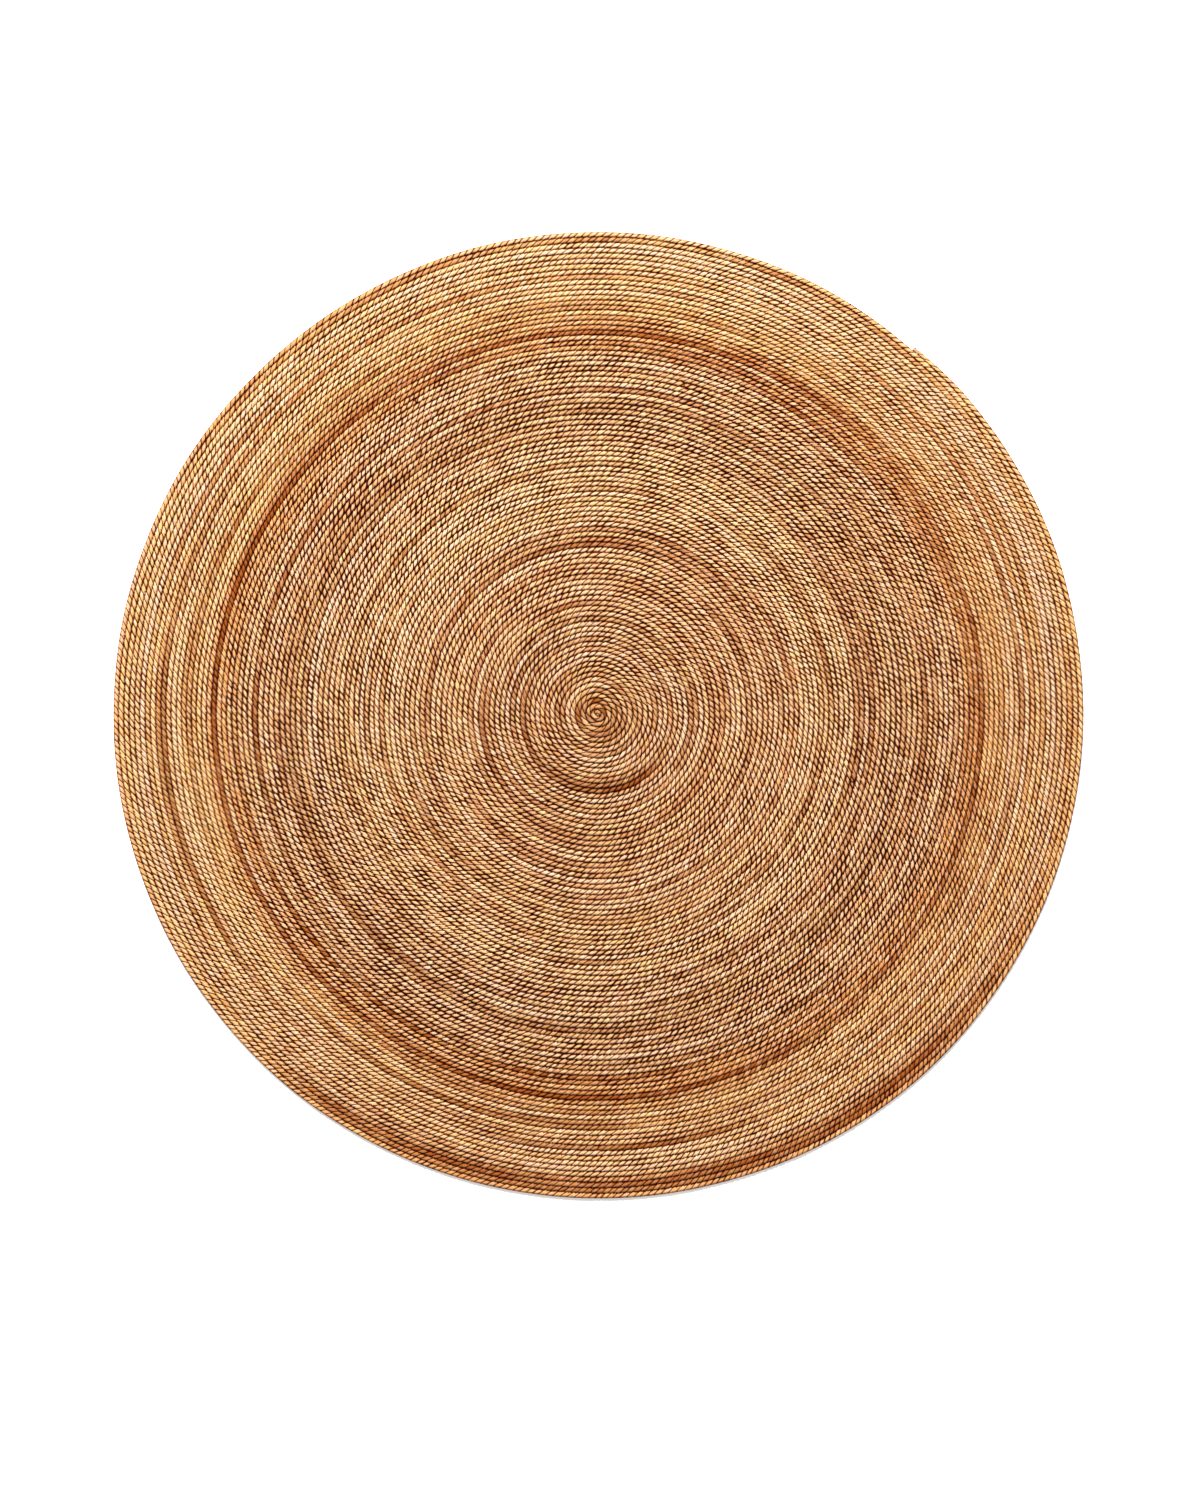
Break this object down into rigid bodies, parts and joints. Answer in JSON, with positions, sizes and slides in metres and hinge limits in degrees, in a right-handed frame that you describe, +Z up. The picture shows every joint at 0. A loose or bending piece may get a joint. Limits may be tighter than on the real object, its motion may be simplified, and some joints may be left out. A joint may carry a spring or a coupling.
{
  "type": "round coiled rope area rug",
  "caption": "Round flat floor rug of twisted natural-fibre rope laid in one continuous spiral and sewn turn to turn, in warm straw, tan and russet bands.",
  "frame": {"origin": "on the floor, under the middle of the rug's outline", "axes": "+Z up out of the rug's top face; the rope spirals outward anticlockwise seen from +Z, and its cut end lies at the rim 49 degrees from +X towards +Y"},
  "size_m": [1.8324, 1.8274, 0.0095],
  "materials": {
    "rope_umber": "dry twisted plant fibre, brown-grey, matt with a faint straw lustre",
    "rope_tan": "dry twisted plant fibre, warm tan, matt with a faint straw lustre",
    "rope_straw": "dry twisted plant fibre, pale straw, matt with a faint straw lustre",
    "rope_russet": "dry twisted plant fibre, red-brown, matt with a faint straw lustre",
    "rope_gold": "dry twisted plant fibre, golden, matt with a faint straw lustre",
    "sewing_thread": "twisted twine, matt"
  },
  "bodies": {
    "root": {"rope_length_01": "rope_umber", "rope_length_02": "rope_tan", "rope_length_03": "rope_tan", "rope_length_04": "rope_straw", "rope_length_05": "rope_straw", "rope_length_06": "rope_tan", "rope_length_07": "rope_umber", "rope_length_08": "rope_tan", "rope_length_09": "rope_tan", "rope_length_10": "rope_russet", "rope_length_11": "rope_gold", "rope_length_12": "rope_gold", "rope_length_13": "rope_straw", "rope_length_14": "rope_gold", "rope_length_15": "rope_tan", "rope_length_16": "rope_gold", "seam_thread_01": "sewing_thread", "seam_thread_02": "sewing_thread", "seam_thread_03": "sewing_thread", "seam_thread_04": "sewing_thread", "seam_thread_05": "sewing_thread", "seam_thread_06": "sewing_thread", "seam_thread_07": "sewing_thread", "seam_thread_08": "sewing_thread", "seam_thread_09": "sewing_thread", "seam_thread_10": "sewing_thread", "seam_thread_11": "sewing_thread", "seam_thread_12": "sewing_thread", "seam_thread_13": "sewing_thread", "seam_thread_14": "sewing_thread", "seam_thread_15": "sewing_thread", "seam_thread_16": "sewing_thread", "tail_whipping": "sewing_thread"}
  },
  "joints": []
}
